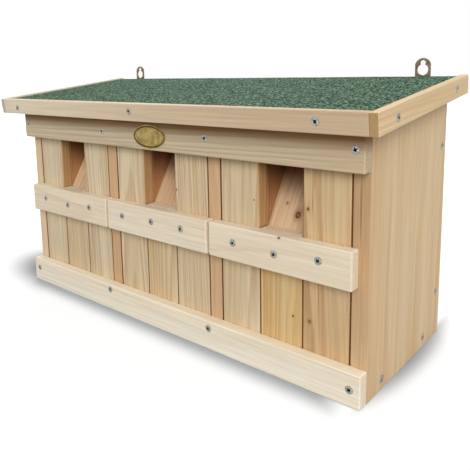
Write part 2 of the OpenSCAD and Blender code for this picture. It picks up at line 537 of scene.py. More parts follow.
@dataclass(frozen=True)
class PineFinish:
    """Planed bare pine: its tones, how the board was sawn from the tree, and on some boards painted shade in
    its colour.

    The rings' spacing, the warp and the pith's place are in mm, and the lean is in degrees.
    """

    light: Colour
    dark: Colour
    blush: Colour
    grain: Grain = Grain.UP
    spacing: float = 3.4
    warp: float = 9.0
    contrast: float = 0.55
    pith: Span = (40.0, 60.0)
    lean: float = 1.0
    shift: float = 0.0
    end_shade: Colour = (0.86, 0.74, 0.60)
    end_tone: Optional[Colour] = None
    gloss: float = 0.28
    edge_tone_and_shade: Optional[Colour] = None
    edge_axis: Triple = (1.0, 0.0, 0.0)
    painted_edge_shade_rise: Optional[Span] = None
    painted_seam_shade: Optional[Colour] = None
    seam_below: float = 0.0
    seam_side: float = 0.0
    fibre: float = 0.40
    streak: float = 0.46
    roughness: Span = (0.52, 0.74)
    relief: Span = (0.22, 0.0003)
    drift: Optional[Drift] = None
    knots: tuple[Knot, ...] = ()

    def material(self, name: str, centre: Vector) -> bpy.types.Material:
        """Make the finish for one board.

        Args:
            name: Name of the board.
            centre: Middle of the board.

        Returns:
            The board's own material.
        """
        made, tree = new_material(f"pine_{name}")
        place = tree.node("ShaderNodeTexCoord")
        spot = place.outputs["Object"]
        ring, fibre, streak, tone = self._grain(tree, spot, centre)
        colour = tree.mix(tree.remap(tone, 0.34, 0.66), self.light, self.blush)
        colour = tree.mix(tree.calc("MULTIPLY", ring, self.contrast), colour, self.dark)
        shade = tree.calc("MULTIPLY_ADD", fibre, self.fibre, 1.0 - self.fibre / 2)
        band = tree.calc("MULTIPLY_ADD", streak, self.streak, 1.0 - self.streak / 2)
        colour = tree.scale(colour, tree.calc("MULTIPLY", shade, band))
        axis = self.grain.turn().to_matrix().inverted() @ Vector((0, 0, 1))
        facing = tree.calc("ABSOLUTE", tree.vec("DOT_PRODUCT", place.outputs["Normal"], tuple(axis)))
        sawn_end = tree.mix(1.0, colour, self.end_shade, "MULTIPLY")
        if self.end_tone:
            sawn_end = tree.mix(tree.remap(fibre, 0.30, 0.62, 0.55, 1.0), sawn_end, self.end_tone)
        colour = tree.mix(tree.remap(facing, 0.72, 0.95), colour, sawn_end)
        if self.drift:
            far = tree.remap(tree.part(spot, self.drift.axis), self.drift.start, self.drift.stop)
            colour = tree.mix(far, colour, tree.mix(1.0, colour, self.drift.tint, "MULTIPLY"))
        if self.edge_tone_and_shade:
            colour = self._with_edges(tree, place, colour)
        for knot in self.knots:
            colour = knot.over(tree, spot, colour, axis)
        smooth, coarse = self.roughness
        tree.surface(tree.shader(
            "ShaderNodeBsdfPrincipled",
            Base_Color=colour,
            Roughness=tree.calc("MULTIPLY_ADD", fibre, coarse - smooth, smooth),
            Normal=tree.bump(tree.calc("MULTIPLY_ADD", ring, 0.5, fibre), *self.relief),
            Specular_IOR_Level=self.gloss,
        ))
        return made

    def _grain(self, tree: Tree, spot: Socket, centre: Vector) -> list[Socket]:
        """Lay the grain pattern through the board.

        Args:
            tree: Node tree of the board.
            spot: Object coordinates.
            centre: Middle of the board.

        Returns:
            The pattern's Ring, Fibre, Streak and Tone.
        """
        turn = self.grain.turn()
        local = turn.to_matrix() @ centre
        middle = (-local.x - self.pith[0] * MM, -local.y - self.pith[1] * MM, -local.z + self.shift)
        leaning = (math.radians(self.lean), math.radians(self.lean * 0.6), 0.0)
        for rotation, location in ((turn, middle), (leaning, (0.0, 0.0, 0.0))):
            laid = tree.node("ShaderNodeMapping", vector_type="POINT")
            for name, value in (("Vector", spot), ("Rotation", rotation), ("Location", location)):
                tree.put(laid.inputs[name], value)
            spot = laid.outputs[0]
        grain = tree.node("ShaderNodeGroup", node_tree=GRAIN.group())
        for name, value in (("Vector", spot), ("Spacing", self.spacing * MM), ("Warp", self.warp * MM)):
            tree.put(grain.inputs[name], value)
        return [grain.outputs[name] for name in ("Ring", "Fibre", "Streak", "Tone")]

    def _with_edges(self, tree: Tree, place: bpy.types.Node, colour: Socket) -> Socket:
        """Darken the sawn sides of a board, partly as the sawn wood's tone and partly as painted shade, and
        paint darker shade where they meet a neighbour in a seam.

        Args:
            tree: Node tree of the board.
            place: Its Texture Coordinate node.
            colour: Colour of the planed faces.

        Returns:
            The colour with darker sides.
        """
        turned = tree.vec("DOT_PRODUCT", place.outputs["Normal"], self.edge_axis)
        across = tree.calc("ABSOLUTE", turned)
        height = tree.part(place.outputs["Object"], "Z")
        share = tree.remap(across, 0.20, 0.72)
        # Painted shade: the edge's darkening grows from the foot towards the top, under the rails and roof.
        if self.painted_edge_shade_rise:
            share = tree.calc("MULTIPLY", share, tree.remap(height, *self.painted_edge_shade_rise, 0.25, 1.0))
        # Sawn sides: partly the sawn wood's own darker tone, partly painted shade.
        edged = tree.mix(share, colour, tree.mix(1.0, colour, self.edge_tone_and_shade, "MULTIPLY"))
        if not self.painted_seam_shade:
            return edged
        # Painted shade in the seams: below the sill, and on a side that meets a neighbour at every height.
        low = tree.calc("LESS_THAN", height, self.seam_below)
        side = tree.calc("GREATER_THAN", tree.calc("MULTIPLY", turned, self.seam_side), 0.05)
        deep = tree.mix(1.0, colour, self.painted_seam_shade, "MULTIPLY")
        seam = tree.mix(tree.remap(across, 0.36, 0.72), colour, deep)
        return tree.mix(tree.calc("MAXIMUM", low, side), edged, seam)


# Painted shade for the seams, on the sides of boards that meet a neighbour.
PAINTED_SEAM_SHADE: Colour = (0.34, 0.20, 0.11)

RAIL = PineFinish(light=linear(236, 224, 201), dark=linear(204, 178, 142), blush=linear(232, 216, 190),
                  grain=Grain.ALONG, spacing=2.6, warp=7.0, contrast=0.42, pith=(26.0, 48.0), lean=0.8,
                  end_shade=(0.97, 0.96, 0.95), streak=0.24)
LOW_RAIL = replace(RAIL, light=linear(245, 236, 217), blush=linear(242, 229, 205), dark=linear(216, 192, 155))
# Top rail: tones darker than the other rails as painted shade of the roof's overhang, and a painted shadow
# that darkens its upper band under the trim.
TOP_RAIL_IN_PAINTED_SHADE = replace(RAIL, light=linear(208, 193, 165), dark=linear(162, 130, 94), blush=linear(203, 183, 151),
                   contrast=0.65, gloss=0.12, drift=Drift("Z", 0.220, 0.238, (0.52, 0.33, 0.17)))
TRIM = replace(RAIL, light=linear(229, 214, 187), dark=linear(186, 154, 117), blush=linear(219, 198, 166),
               end_shade=(0.63, 0.54, 0.43))
SIDE_TRIM = replace(TRIM, grain=Grain.SLOPE, light=linear(224, 198, 156), blush=linear(216, 184, 140))
GREY_TRIM = replace(SIDE_TRIM, light=linear(200, 190, 172), blush=linear(194, 182, 162),
                    dark=linear(158, 142, 120), end_shade=(0.98, 0.98, 0.98))
# Front boards: sawn sides darker, partly the wood's tone and partly painted shade; seams darker still as
# painted shade.
BOARD = PineFinish(light=linear(220, 204, 174), dark=linear(166, 120, 76), blush=linear(212, 190, 154),
                   grain=Grain.UP, spacing=2.3, warp=8.0, contrast=0.9, end_tone=linear(236, 222, 196),
                   edge_tone_and_shade=(0.72, 0.52, 0.34), painted_seam_shade=PAINTED_SEAM_SHADE, seam_below=SIZES.sill_z)
PALE_BOARD = replace(BOARD, light=linear(224, 206, 172))
TAN_BOARD = replace(BOARD, light=linear(217, 196, 158), blush=linear(210, 184, 142))
GOLD_BOARD = replace(BOARD, light=linear(219, 189, 138), blush=linear(209, 169, 110),
                     dark=linear(166, 116, 62), spacing=3.0, contrast=1.0)
RUDDY_BOARD = replace(BOARD, light=linear(212, 186, 144), blush=linear(205, 170, 124), spacing=4.2, warp=13.0,
                      contrast=1.0)
# Walls: front edges darker, partly the wood's tone and partly painted shade.
WALL = PineFinish(light=linear(222, 196, 158), dark=linear(192, 148, 104), blush=linear(214, 184, 142),
                  grain=Grain.UP, spacing=6.5, warp=14.0, contrast=0.42, pith=(120.0, 55.0), streak=0.34,
                  edge_tone_and_shade=(0.78, 0.70, 0.66), edge_axis=(0.0, 1.0, 0.0))
# Left wall: the drift darkens its inner face at the front edge as painted shade in the seam beside the left
# panel.
PALE_WALL = replace(WALL, light=linear(228, 206, 172), blush=linear(220, 194, 156),
                    edge_tone_and_shade=(0.95, 0.92, 0.90), drift=Drift("X", -0.2350, -0.2342, PAINTED_SEAM_SHADE))
# Partitions: their sides carry the painted seam shade over the full height.
PARTING = replace(WALL, light=linear(208, 174, 134), blush=linear(200, 162, 120), spacing=3.0, contrast=0.5,
                  edge_axis=(1.0, 0.0, 0.0), painted_seam_shade=PAINTED_SEAM_SHADE, seam_below=1.0)
LYING = replace(WALL, grain=Grain.ALONG)
# Guards: the drift darkens their upper part as painted shade under the top rail.
INNER = PineFinish(light=linear(214, 184, 149), dark=linear(152, 101, 66), blush=linear(205, 168, 131),
                   grain=Grain.GUARD, spacing=3.2, warp=8.0, contrast=0.6, gloss=0.06,
                   drift=Drift("Z", 0.160, 0.200, (0.36, 0.21, 0.12)))
# Cheeks: the drift darkens their upper part as painted shade under the top rail.
CHEEK = PineFinish(light=linear(182, 134, 90), dark=linear(118, 66, 37), blush=linear(170, 116, 74),
                   grain=Grain.UP, spacing=2.6, warp=6.0, contrast=0.75, gloss=0.10,
                   drift=Drift("Z", 0.150, 0.206, (0.50, 0.42, 0.36)))


@dataclass(frozen=True)
class FeltFinish:
    """Bitumen felt with green, black and pale mineral granules, whose size is in mm."""

    dark: Colour = linear(22, 33, 27)
    green: Colour = linear(61, 95, 72)
    pale: Colour = linear(143, 169, 140)
    granule: float = 1.45
    patches: float = 55.0
    patch_depth: float = 0.5
    roughness: float = 0.92
    gloss: float = 0.08
    relief: Span = (0.7, 0.0008)

    def material(self, name: str) -> bpy.types.Material:
        """Make the felt's material.

        Args:
            name: Name of the material.

        Returns:
            The material.
        """
        made, tree = new_material(name)
        place = tree.node("ShaderNodeTexCoord").outputs["Object"]
        cells = tree.node("ShaderNodeTexVoronoi", feature="F1")
        tree.put(cells.inputs["Vector"], place)
        tree.put(cells.inputs["Scale"], 1.0 / (self.granule * MM))
        lot = tree.node("ShaderNodeSeparateColor")
        tree.put(lot.inputs[0], cells.outputs["Color"])
        colour = tree.ramp(lot.outputs[0], ((0.0, self.dark), (0.24, self.dark), (0.34, self.green),
                                            (0.72, self.green), (0.86, self.pale), (1.0, self.pale)))
        patch = tree.noise(place, scale=self.patches, detail=3.0).outputs[0]
        shade = tree.calc("MULTIPLY_ADD", patch, self.patch_depth, 1.0 - self.patch_depth / 2)
        height = tree.calc("MULTIPLY_ADD", cells.outputs["Distance"], -0.8, lot.outputs[1])
        tree.surface(tree.shader(
            "ShaderNodeBsdfPrincipled",
            Base_Color=tree.scale(colour, shade),
            Roughness=self.roughness,
            Specular_IOR_Level=self.gloss,
            Normal=tree.bump(height, *self.relief),
        ))
        return made


@dataclass(frozen=True)
class MetalFinish:
    """Bare or passivated metal with a dulled, finely marked surface."""

    tint: Colour
    worn: Colour
    roughness: float = 0.38
    metallic: float = 1.0
    scale: float = 420.0
    brushing: Triple = (60.0, 900.0, 900.0)
    unevenness: float = 0.22
    relief: Span = (0.12, 0.0002)

    def material(self, name: str) -> bpy.types.Material:
        """Make the metal's material.

        Args:
            name: Name of the material.

        Returns:
            The material.
        """
        made, tree = new_material(name)
        place = tree.node("ShaderNodeTexCoord").outputs["Object"]
        marks = tree.noise(place, scale=self.scale, detail=3.0).outputs[0]
        brushed = tree.noise(tree.vec("MULTIPLY", place, self.brushing)).outputs[0]
        smooth = self.roughness - self.unevenness / 2
        tree.surface(tree.shader(
            "ShaderNodeBsdfPrincipled",
            Base_Color=tree.mix(tree.remap(marks, 0.35, 0.7), self.tint, self.worn),
            Metallic=self.metallic,
            Roughness=tree.calc("MULTIPLY_ADD", brushed, self.unevenness, smooth),
            Normal=tree.bump(brushed, *self.relief),
        ))
        return made


ZINC = MetalFinish(tint=linear(182, 186, 178), worn=linear(118, 124, 120), roughness=0.40, metallic=0.9,
                   scale=700.0)
# Screw recess: near black, as painted shade in the cross recess.
RECESS_PAINTED_SHADE = MetalFinish(tint=linear(26, 29, 30), worn=linear(16, 18, 18), roughness=0.7)
# Ring round each head: partly bruised wood, partly painted shade round the head.
BRUISE_AND_SHADE = MetalFinish(tint=linear(176, 158, 130), worn=linear(146, 126, 98), roughness=0.85, metallic=0.0)
PLATE = MetalFinish(tint=linear(150, 136, 112), worn=linear(112, 98, 76), roughness=0.42)
BRASS = MetalFinish(tint=linear(164, 143, 88), worn=linear(130, 109, 62), roughness=0.36, scale=180.0)
RIM = MetalFinish(tint=linear(64, 48, 24), worn=linear(44, 34, 18), roughness=0.5)


def set_down(mesh: bmesh.types.BMesh, name: str, body: str,
             materials: Sequence[bpy.types.Material], nodes: Iterable[str] = (),
             smooth: bool = True) -> bpy.types.Object:
    """Turn a finished bmesh into a piece that rides on a body.

    Args:
        mesh: The finished bmesh, which is freed.
        name: Name of the piece.
        body: Body that it rides on.
        materials: Its materials, in the order of the faces' material numbers.
        nodes: Nodes of the frame that it stands for.
        smooth: Whether its faces are shaded smooth, with the flat ones kept flat.

    Returns:
        The new object.
    """
    data = bpy.data.meshes.new(name)
    bmesh.ops.recalc_face_normals(mesh, faces=mesh.faces)
    mesh.to_mesh(data)
    mesh.free()
    made = bpy.data.objects.new(name, data)
    bpy.context.scene.collection.objects.link(made)
    for material in materials:
        data.materials.append(material)
    if smooth:
        data.polygons.foreach_set("use_smooth", [True] * len(data.polygons))
        flat = made.modifiers.new("flat_faces", "WEIGHTED_NORMAL")
        flat.keep_sharp = True
    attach(made, body)
    for node in nodes:
        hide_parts(node)
    LOG.info("%s on %s: %d faces", name, body, len(data.polygons))
    return made


def picked(result: dict[str, list], kind: type) -> list:
    """Pick the vertices, edges or faces out of what a bmesh operator made."""
    return [item for item in result["geom"] if isinstance(item, kind)]


def box_mesh(low: Vector, high: Vector) -> bmesh.types.BMesh:
    """Make a box between two corners.

    Args:
        low: Lower corner.
        high: Upper corner.

    Returns:
        The box.
    """
    made = bmesh.new()
    bmesh.ops.create_cube(made, size=1.0)
    bmesh.ops.scale(made, verts=made.verts, vec=high - low)
    bmesh.ops.translate(made, verts=made.verts, vec=(low + high) / 2)
    return made


def ease_edges(mesh: bmesh.types.BMesh, width: float) -> None:
    """Round every edge that isn't flat.

    Args:
        mesh: Mesh to change.
        width: How far the rounding reaches from the edge, in metres.
    """
    flattest = 0.3
    edges = [e for e in mesh.edges if e.is_manifold and e.calc_face_angle(0.0) > flattest]
    bmesh.ops.bevel(mesh, geom=edges, offset=width, offset_type="OFFSET", segments=3, profile=0.5,
                    affect="EDGES", clamp_overlap=True, material=-1)


@dataclass
class Board:
    """One sawn and planed board that stands for a node of the frame, its edges rounded by some mm."""

    node: str
    body: str
    slot: str
    finish: PineFinish
    ease: float = FRONT_EASE

    def shape(self) -> bmesh.types.BMesh:
        """Make the board's sharp form."""
        return box_mesh(*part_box(self.node))

    def build(self) -> bpy.types.Object:
        """Make the board, round its edges and dress it.

        Returns:
            The finished board.
        """
        mesh = self.shape()
        low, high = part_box(self.node)
        ease_edges(mesh, self.ease * MM)
        finish = self.finish.material(self.node, (low + high) / 2)
        return set_down(mesh, f"{self.node}_pine", self.body, [finish], [self.node])


@dataclass
class SlopedWall(Board):
    """Upright wall whose top follows the roof."""

    def shape(self) -> bmesh.types.BMesh:
        """Make a box and lower the front of its top to the roof's slope.

        Returns:
            The wall's sharp form.
        """
        low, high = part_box(self.node)
        mesh = box_mesh(low, high)
        drop = (high.y - low.y) * math.tan(SIZES.roof_pitch)
        front = [v for v in mesh.verts if v.co.z > high.z - MM and v.co.y < low.y + MM]
        bmesh.ops.translate(mesh, verts=front, vec=(0, 0, -drop))
        return mesh


@dataclass
class RoofPiece(Board):
    """Board or strip in the roof's own sloping frame, from one corner to the other in metres."""

    low: Vector = field(default_factory=Vector)
    high: Vector = field(default_factory=Vector)

    def shape(self) -> bmesh.types.BMesh:
        """Make a box in the sloping frame and tilt it into place.

        Returns:
            The piece's sharp form.
        """
        mesh = box_mesh(self.low, self.high)
        bmesh.ops.transform(mesh, matrix=SIZES.slope, verts=mesh.verts)
        return mesh


@dataclass
class GuardBoard(Board):
    """Slanted board behind an entrance, with its foot cut plumb."""

    def shape(self) -> bmesh.types.BMesh:
        """Draw the guard's side outline and pull it across the entrance.

        Returns:
            The guard's sharp form.
        """
        low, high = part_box(self.node)
        pitch = SIZES.guard_pitch
        foot = Vector((low.x, SIZES.board_t - SIZES.mid_y, SIZES.sill_z))
        head = foot + SIZES.guard_len * Vector((0, math.cos(pitch), math.sin(pitch)))
        heel = head + SIZES.guard_t * Vector((0, math.sin(pitch), -math.cos(pitch)))
        toe = foot - Vector((0, 0, SIZES.guard_t / math.cos(pitch)))
        mesh = bmesh.new()
        face = mesh.faces.new([mesh.verts.new(p) for p in (foot, toe, heel, head)])
        pulled = bmesh.ops.extrude_face_region(mesh, geom=[face])
        bmesh.ops.translate(mesh, verts=picked(pulled, bmesh.types.BMVert), vec=(high.x - low.x, 0, 0))
        return mesh


@dataclass
class Carcass:
    """Walls, partitions, back, floor and the two rails screwed across the front."""

    body: str = "box"
    resin: Knot = Knot((241.2, -72.2, 176.0), 0.5, 0.0, 0.6, ring=linear(132, 88, 56), drawn_out=0.9995)

    def build(self) -> list[bpy.types.Object]:
        """Build every board of the carcass.

        Returns:
            The finished boards.
        """
        walls = {
            "side_wall_left": replace(PALE_WALL, shift=0.3, pith=(140, 40)),
            "side_wall_right": replace(WALL, shift=1.1, pith=(95, -30), knots=(self.resin,),
                                       painted_edge_shade_rise=(0.02, 0.15)),
            "partition_left": replace(PARTING, shift=2.1, pith=(60, 90)),
            "partition_right": replace(PARTING, shift=2.9, pith=(-70, 90)),
            "back_wall": replace(LYING, shift=3.7, edge_tone_and_shade=None),
        }
        rails = {
            "bottom_rail": replace(LOW_RAIL, shift=0.7, pith=(34, 52)),
            "top_rail": replace(TOP_RAIL_IN_PAINTED_SHADE, shift=1.6, pith=(-18, 40)),
        }
        boards: list[Board] = [SlopedWall(node, self.body, "pine_wall", finish, WALL_EASE)
                               for node, finish in walls.items()]
        boards.append(Board("floor_board", self.body, "pine_wall", replace(LYING, shift=4.4), WALL_EASE))
        boards += [Board(node, self.body, "pine_rail", finish, RAIL_EASE) for node, finish in rails.items()]
        return [board.build() for board in boards]


@dataclass
class FrontPanel:
    """Lift-out front of one chamber: three boards, a cross rail, a slanted guard and its two cheeks."""

    side: str
    tones: tuple[PineFinish, PineFinish, PineFinish]
    rail: PineFinish
    guard: PineFinish

    def build(self) -> list[bpy.types.Object]:
        """Build the panel's boards, rail, guard and cheeks.

        Returns:
            The finished boards.
        """
        body = f"{self.side}_panel"
        boards: list[Board] = [
            Board(f"{self.side}_board_{place}", body, "pine_front", replace(finish, seam_side=hand))
            for hand, place, finish in zip((-1.0, 0.0, 1.0), ("left", "middle", "right"), self.tones)
        ]
        boards.append(Board(f"{self.side}_cross_rail", body, "pine_rail", self.rail, RAIL_EASE))
        boards.append(GuardBoard(f"{self.side}_guard", body, "pine_inner", self.guard, GUARD_EASE))
        for k, hand in enumerate(("left", "right")):
            finish = replace(CHEEK, shift=self.guard.shift + 1.7 * k, pith=(30.0 - 50.0 * k, 46.0))
            boards.append(Board(f"{self.side}_cheek_{hand}", body, "pine_inner", finish, CHEEK_EASE))
        return [board.build() for board in boards]


@dataclass
class Roof:
    """Tilted roof board under granulated felt, with trim strips on three sides.

    The felt's wave and grit are heights in mm with their repeats per metre.
    """

    body: str = "box"
    felt_cells: tuple[int, int] = (160, 64)
    felt_wave: Span = (0.22, 26.0)
    felt_grit: Span = (0.10, 140.0)
    felt_settled: float = 0.15

    def build(self) -> list[bpy.types.Object]:
        """Build the roof board, its trim and its felt.

        Returns:
            The finished pieces.
        """
        half, back, front = SIZES.roof_w / 2, SIZES.roof_back, -SIZES.front_overhang
        inner, low, high = front + SIZES.trim_t, -SIZES.trim_drop, SIZES.trim_h - SIZES.trim_drop
        outer = half + SIZES.trim_t
        pieces = [RoofPiece("roof_board", self.body, "pine_wall", replace(LYING, shift=5.2), ROOF_EASE,
                            Vector((-half, inner, 0)), Vector((half, back, SIZES.roof_t)))]
        darker = Drift("X", -outer, outer, (0.79, 0.69, 0.63))
        strips = (
            ("front", replace(TRIM, shift=0.4, pith=(20, 44), drift=darker), -half, half, inner),
            ("left", replace(GREY_TRIM, shift=1.3, pith=(44, 16)), -outer, -half, back),
            ("right", replace(SIDE_TRIM, shift=2.2, pith=(-40, 14)), half, outer, back),
        )
        pieces += [RoofPiece(f"roof_trim_{place}", self.body, "pine_trim", finish, TRIM_EASE,
                             Vector((near, front, low)), Vector((far, rear, high)))
                   for place, finish, near, far, rear in strips]
        made = [piece.build() for piece in pieces]
        made.append(self._felt(half, inner, back))
        return made

    def _felt(self, half: float, inner: float, back: float) -> bpy.types.Object:
        """Lay the felt between the trim strips, a little uneven as a sheet of granules is.

        Args:
            half: Half of the felt's width.
            inner: Its front edge along the slope.
            back: Its back edge along the slope.

        Returns:
            The felt.
        """
        mesh = bmesh.new()
        bmesh.ops.create_grid(mesh, x_segments=self.felt_cells[0], y_segments=self.felt_cells[1], size=0.5)
        bmesh.ops.scale(mesh, verts=mesh.verts, vec=(2 * half, back - inner, 1.0))
        top = SIZES.roof_t + SIZES.felt_t
        bmesh.ops.translate(mesh, verts=mesh.verts, vec=(0, (back + inner) / 2, top))
        for vert in mesh.verts:
            lift = sum(height * noise.noise(vert.co * repeats)
                       for height, repeats in (self.felt_wave, self.felt_grit))
            vert.co.z += (lift - self.felt_settled) * MM
        skirt = bmesh.ops.extrude_edge_only(mesh, edges=[e for e in mesh.edges if e.is_boundary])
        for vert in picked(skirt, bmesh.types.BMVert):
            vert.co.z = SIZES.roof_t
        bmesh.ops.holes_fill(mesh, edges=[e for e in mesh.edges if e.is_boundary], sides=0)
        bmesh.ops.transform(mesh, matrix=SIZES.slope, verts=mesh.verts)
        return set_down(mesh, "roof_felt_granules", self.body,
                        [FeltFinish().material("felt_granules")], ["roof_felt"])


@dataclass(frozen=True)
class Screw:
    """One screw: its place and outward direction in the object's frame, its turn, and its radius in mm."""

    place: Vector
    out: Vector
    turn: float = 0.0
    radius: float = 3.4


@dataclass
class Screws:
    """All the screws on one body, as zinc heads with a dark-painted cross recess, in a ring of slightly
    bruised wood with painted shade.

    The fields after the screws are shares of a head's radius.
    """

    body: str
    screws: list[Screw]
    cells: int = 13
    arm_half: float = 0.16
    arm_reach: float = 0.55
    crown: float = 0.22
    fall: float = 0.13
    rim: float = 0.03
    bruise_and_shade: float = 1.13
    bruise_rise: float = 0.4
    recess: float = 0.17
    taper: float = 0.94

    def _in_cross(self, face: bmesh.types.BMFace) -> bool:
        """Tell whether a face lies in one of the recess's four arms."""
        near, far = sorted(abs(c) for c in face.calc_center_median().xy)
        return near < self.arm_half and far < self.arm_reach

    def _head(self, radius: float) -> bmesh.types.BMesh:
        """Make one head at the origin, facing +Z.

        Args:
            radius: Radius of the head in mm.

        Returns:
            The head, with the recess in material 1, painted dark as shade, and the ring of bruised wood with
            painted shade round it in material 2.
        """
        mesh = bmesh.new()
        bmesh.ops.create_grid(mesh, x_segments=self.cells, y_segments=self.cells, size=1.0)
        for vert in mesh.verts:
            x, y = vert.co.x, vert.co.y
            vert.co.x, vert.co.y = x * math.sqrt(1 - y * y / 2), y * math.sqrt(1 - x * x / 2)
        cross = [f for f in mesh.faces if self._in_cross(f)]
        rim = [e for e in mesh.edges if e.is_boundary]
        for vert in mesh.verts:
            vert.co.z = self.crown - self.fall * (vert.co.x ** 2 + vert.co.y ** 2)
        skirt = bmesh.ops.extrude_edge_only(mesh, edges=rim)
        for vert in picked(skirt, bmesh.types.BMVert):
            vert.co.z = self.rim
        edge = [e for e in picked(skirt, bmesh.types.BMEdge) if e.is_boundary]
        wide = bmesh.ops.extrude_edge_only(mesh, edges=edge)
        for face in picked(wide, bmesh.types.BMFace):
            face.material_index = 2
        bmesh.ops.scale(mesh, verts=picked(wide, bmesh.types.BMVert),
                        vec=(self.bruise_and_shade, self.bruise_and_shade, self.bruise_rise))
        floor = picked(bmesh.ops.extrude_face_region(mesh, geom=cross), bmesh.types.BMVert)
        bmesh.ops.delete(mesh, geom=cross, context="FACES")
        bmesh.ops.translate(mesh, verts=floor, vec=(0, 0, -self.recess))
        bmesh.ops.scale(mesh, verts=floor, vec=(self.taper, self.taper, 1.0))
        sunk = set(floor)
        for face in mesh.faces:
            if sunk.issuperset(face.verts):
                face.material_index = 1
        bmesh.ops.scale(mesh, verts=mesh.verts, vec=(radius * MM,) * 3)
        return mesh

    def build(self) -> bpy.types.Object:
        """Make every head and set it on its board.

        Returns:
            The screws of the body as one piece.
        """
        whole = bmesh.new()
        for screw in self.screws:
            head = self._head(screw.radius)
            facing = screw.out.to_track_quat("Z", "Y").to_matrix().to_4x4()
            place = Matrix.Translation(screw.place) @ facing @ Matrix.Rotation(screw.turn, 4, "Z")
            bmesh.ops.transform(head, matrix=place, verts=head.verts)
            part = bpy.data.meshes.new("screw_part")
            head.to_mesh(part)
            head.free()
            whole.from_mesh(part)
            bpy.data.meshes.remove(part)
        finishes = [ZINC.material(f"zinc_{self.body}"), RECESS_PAINTED_SHADE.material(f"recess_{self.body}"),
                    BRUISE_AND_SHADE.material(f"bruise_{self.body}")]
        return set_down(whole, f"screws_{self.body}", self.body, finishes, smooth=False)


@dataclass
class BlankPlate:
    """Bare oval brass plate with a dark line inside its rim, in the middle of the top rail, in mm."""

    z: float = 221.2
    width: float = 50.0
    height: float = 25.5
    thickness: float = 0.8
    segments: int = 72
    rim: float = 0.9
    line: float = 1.3
    line_depth: float = 0.2
    step: float = 1.2
    step_rise: float = 0.25

    def build(self) -> bpy.types.Object:
        """Make the plate and dress it.

        Returns:
            The plate.
        """
        mesh = bmesh.new()
        bmesh.ops.create_circle(mesh, cap_ends=True, segments=self.segments, radius=1.0)
        bmesh.ops.scale(mesh, verts=mesh.verts, vec=(self.width * MM / 2, self.height * MM / 2, 1.0))
        raised = bmesh.ops.extrude_face_region(mesh, geom=mesh.faces[:])
        bmesh.ops.translate(mesh, verts=picked(raised, bmesh.types.BMVert), vec=(0, 0, self.thickness * MM))
        top = [f for f in mesh.faces if f.calc_center_median().z > self.thickness * MM * 0.9]
        bmesh.ops.inset_region(mesh, faces=top, thickness=self.rim * MM)
        line = bmesh.ops.inset_region(mesh, faces=top, thickness=self.line * MM, depth=-self.line_depth * MM)
        for ring in line["faces"]:
            ring.material_index = 1
        bmesh.ops.inset_region(mesh, faces=top, thickness=self.step * MM, depth=self.step_rise * MM)
        bmesh.ops.rotate(mesh, verts=mesh.verts, matrix=Matrix.Rotation(math.pi / 2, 3, "X"))
        bmesh.ops.translate(mesh, verts=mesh.verts, vec=(0.0, SIZES.rail_face, self.z * MM))
        return set_down(mesh, "oval_plate", "box",
                        [BRASS.material("plate_brass"), RIM.material("plate_line")], smooth=False)


@dataclass
class Hangers:
    """Keyhole plates on the back, with the frame's own outline and edges softened by some mm."""

    nodes: tuple[str, ...] = ("hanger_left", "hanger_right")
    weld: float = 0.01
    softness: float = 0.3

    def build(self) -> list[bpy.types.Object]:
        """Dress both plates.

        Returns:
            The plates.
        """
        made = []
        for node in self.nodes:
            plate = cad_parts[node]
            plate.data.materials.clear()
            plate.data.materials.append(PLATE.material(f"steel_{node}"))
            weld = plate.modifiers.new("weld", "WELD")
            weld.merge_threshold = self.weld * MM
            edge = plate.modifiers.new("soft_edge", "BEVEL")
            edge.width, edge.segments, edge.limit_method = self.softness * MM, 2, "ANGLE"
            LOG.info("%s dressed as it is", node)
            made.append(plate)
        return made


@dataclass(frozen=True)
class SoftShade:
    """Soft oval shadow on the floor beside the box.

    It has a middle and half widths in metres, a firmness of its edge and a depth. It fades in between two
    distances from the box's middle plane, so that it doesn't show in front of the box.
    """

    middle: Span
    reach: Span
    edge: float
    depth: float
    start: Span

    def share(self, tree: Tree, place: Socket) -> Socket:
        """Work out how much light the shadow leaves.

        Args:
            tree: Node tree of the floor.
            place: Place on the floor.

        Returns:
            The share of light that is left there.
        """
        away = tree.vec("SUBTRACT", place, (*self.middle, 0.0))
        far = tree.vec("LENGTH", tree.vec("MULTIPLY", away, (1 / self.reach[0], 1 / self.reach[1], 0.0)))
        inside = tree.calc("EXPONENT", tree.calc("MULTIPLY", tree.calc("POWER", far, self.edge), -1.0))
        across = tree.calc("ABSOLUTE", tree.part(place, "X"))
        inside = tree.calc("MULTIPLY", inside, tree.remap(across, *self.start))
        return tree.calc("POWER", tree.calc("MULTIPLY_ADD", inside, -self.depth, 1.0), SCREEN_GAMMA)


LEFT_SHADE = SoftShade(middle=(-0.220, -0.0282), reach=(0.1165, 0.0650), edge=4.0, depth=0.60,
                       start=(0.16, 0.22))
RIGHT_SHADE = SoftShade(middle=(0.212, 0.030), reach=(0.0500, 0.1360), edge=6.5, depth=0.46,
                        start=(0.240, 0.2495))


@dataclass(frozen=True)
class Lamp:
    """Square lamp, with its place and side in metres and its power in watts."""

    name: str
    place: Triple
    side: float
    power: float

    def hang(self, aim: Vector) -> None:
        """Hang the lamp.

        Args:
            aim: Place that it faces.
        """
        light = bpy.data.lights.new(self.name, "AREA")
        light.size, light.energy = self.side, self.power
        lamp = bpy.data.objects.new(self.name, light)
        lamp.location = self.place
        lamp.rotation_euler = (aim - Vector(self.place)).to_track_quat("-Z", "Y").to_euler()
        bpy.context.scene.collection.objects.link(lamp)


KEY = Lamp("key", (2.30, -2.85, 1.90), 2.0, 106.0)
FILL = Lamp("fill", (-2.30, 2.75, 1.60), 2.4, 62.0)


